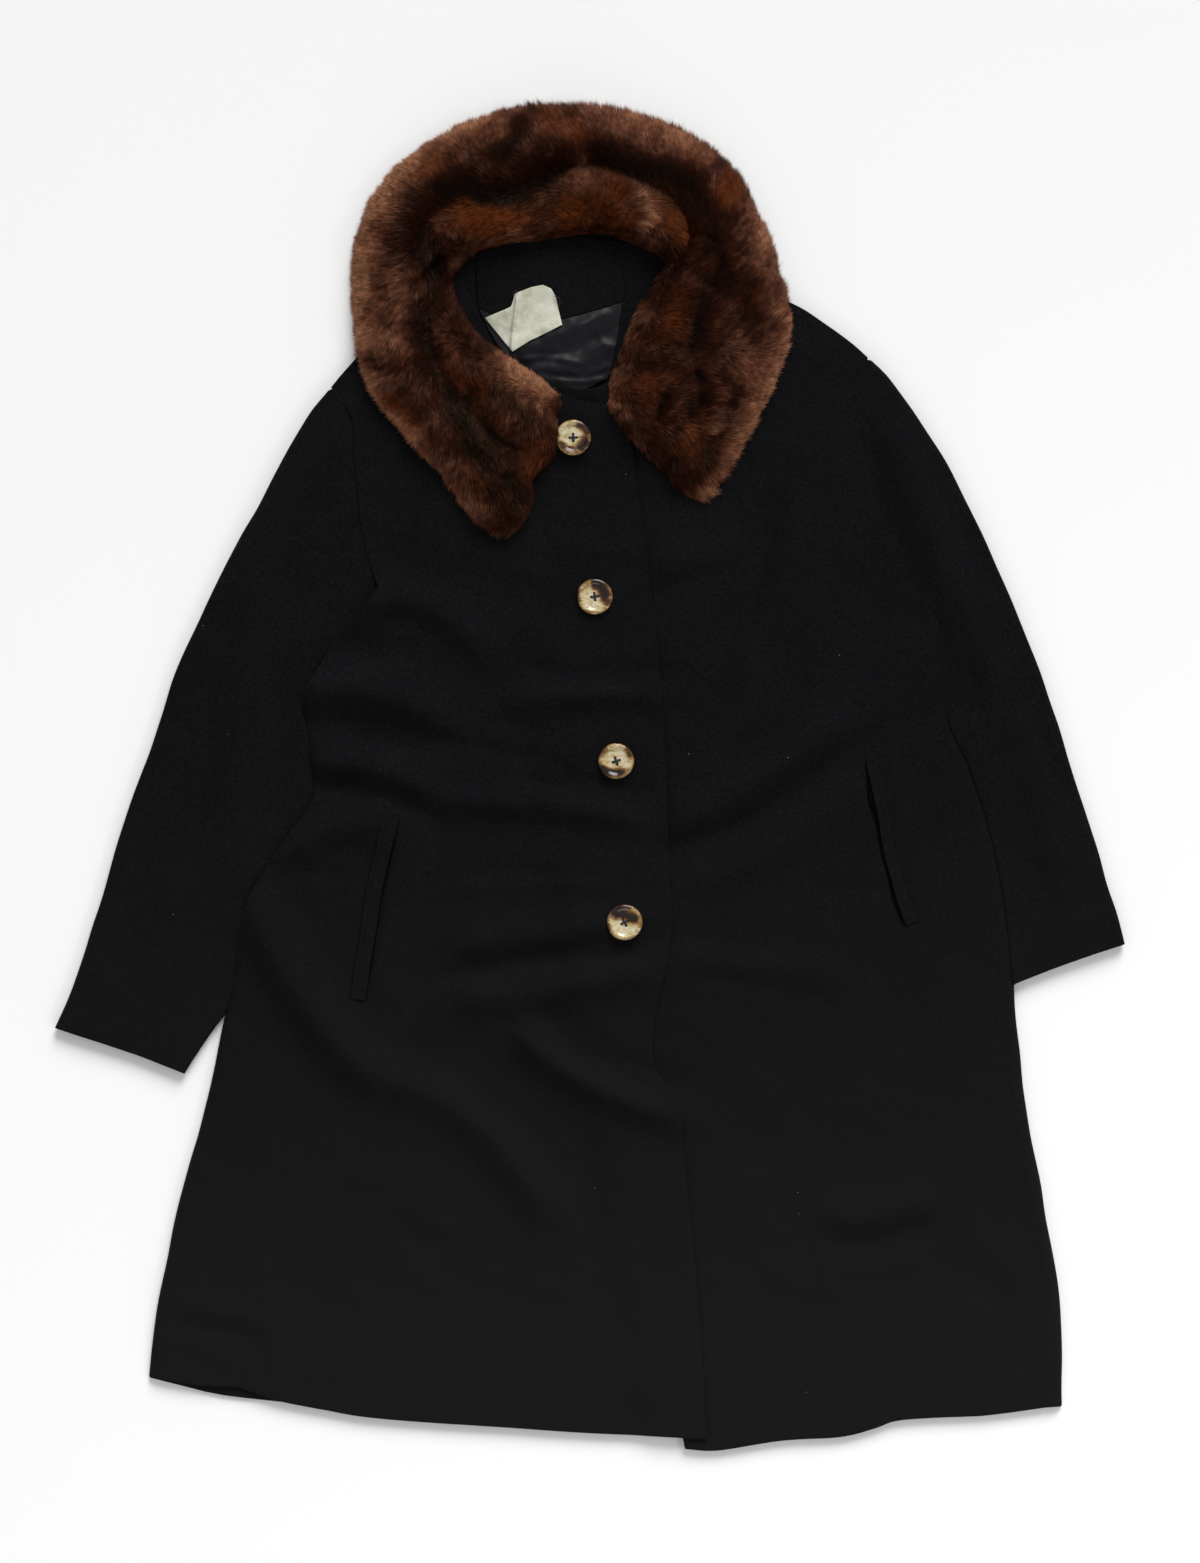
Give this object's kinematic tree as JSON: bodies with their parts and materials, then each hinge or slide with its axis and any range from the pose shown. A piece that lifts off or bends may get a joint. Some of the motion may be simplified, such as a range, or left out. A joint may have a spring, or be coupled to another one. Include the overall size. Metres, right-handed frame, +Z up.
{
  "type": "fur-collar wool coat",
  "caption": "Knee-length wool coat laid flat, with a mink collar, set-in sleeves, welt pockets and a single-breasted button front.",
  "frame": {"origin": "under the middle of the coat, on the surface that it lies on", "axes": "+Z up from that surface, +Y from the hem towards the collar, +X towards the wearer's left front"},
  "size_m": [0.9, 1.1331, 0.0441],
  "materials": {
    "wool": "matt black wool coating, lightly felted",
    "satin": "blue-black lining satin with a soft sheen",
    "fur": "glossy brown mink with darker stripes down the pelts",
    "horn": "polished cream and brown horn",
    "label": "off-white woven tape"
  },
  "bodies": {
    "root": {"back": "wool", "front_right": "wool", "front_left": "wool", "sleeve_right": "wool", "sleeve_left": "wool", "back_neck_facing": "wool", "front_facing_right": "wool", "front_facing_left": "wool", "lining": "satin", "label": "label", "collar_fur": "fur", "pocket_welt_right": "wool", "pocket_welt_left": "wool", "button_1": "horn", "button_2": "horn", "button_3": "horn", "button_4": "horn"}
  },
  "joints": []
}
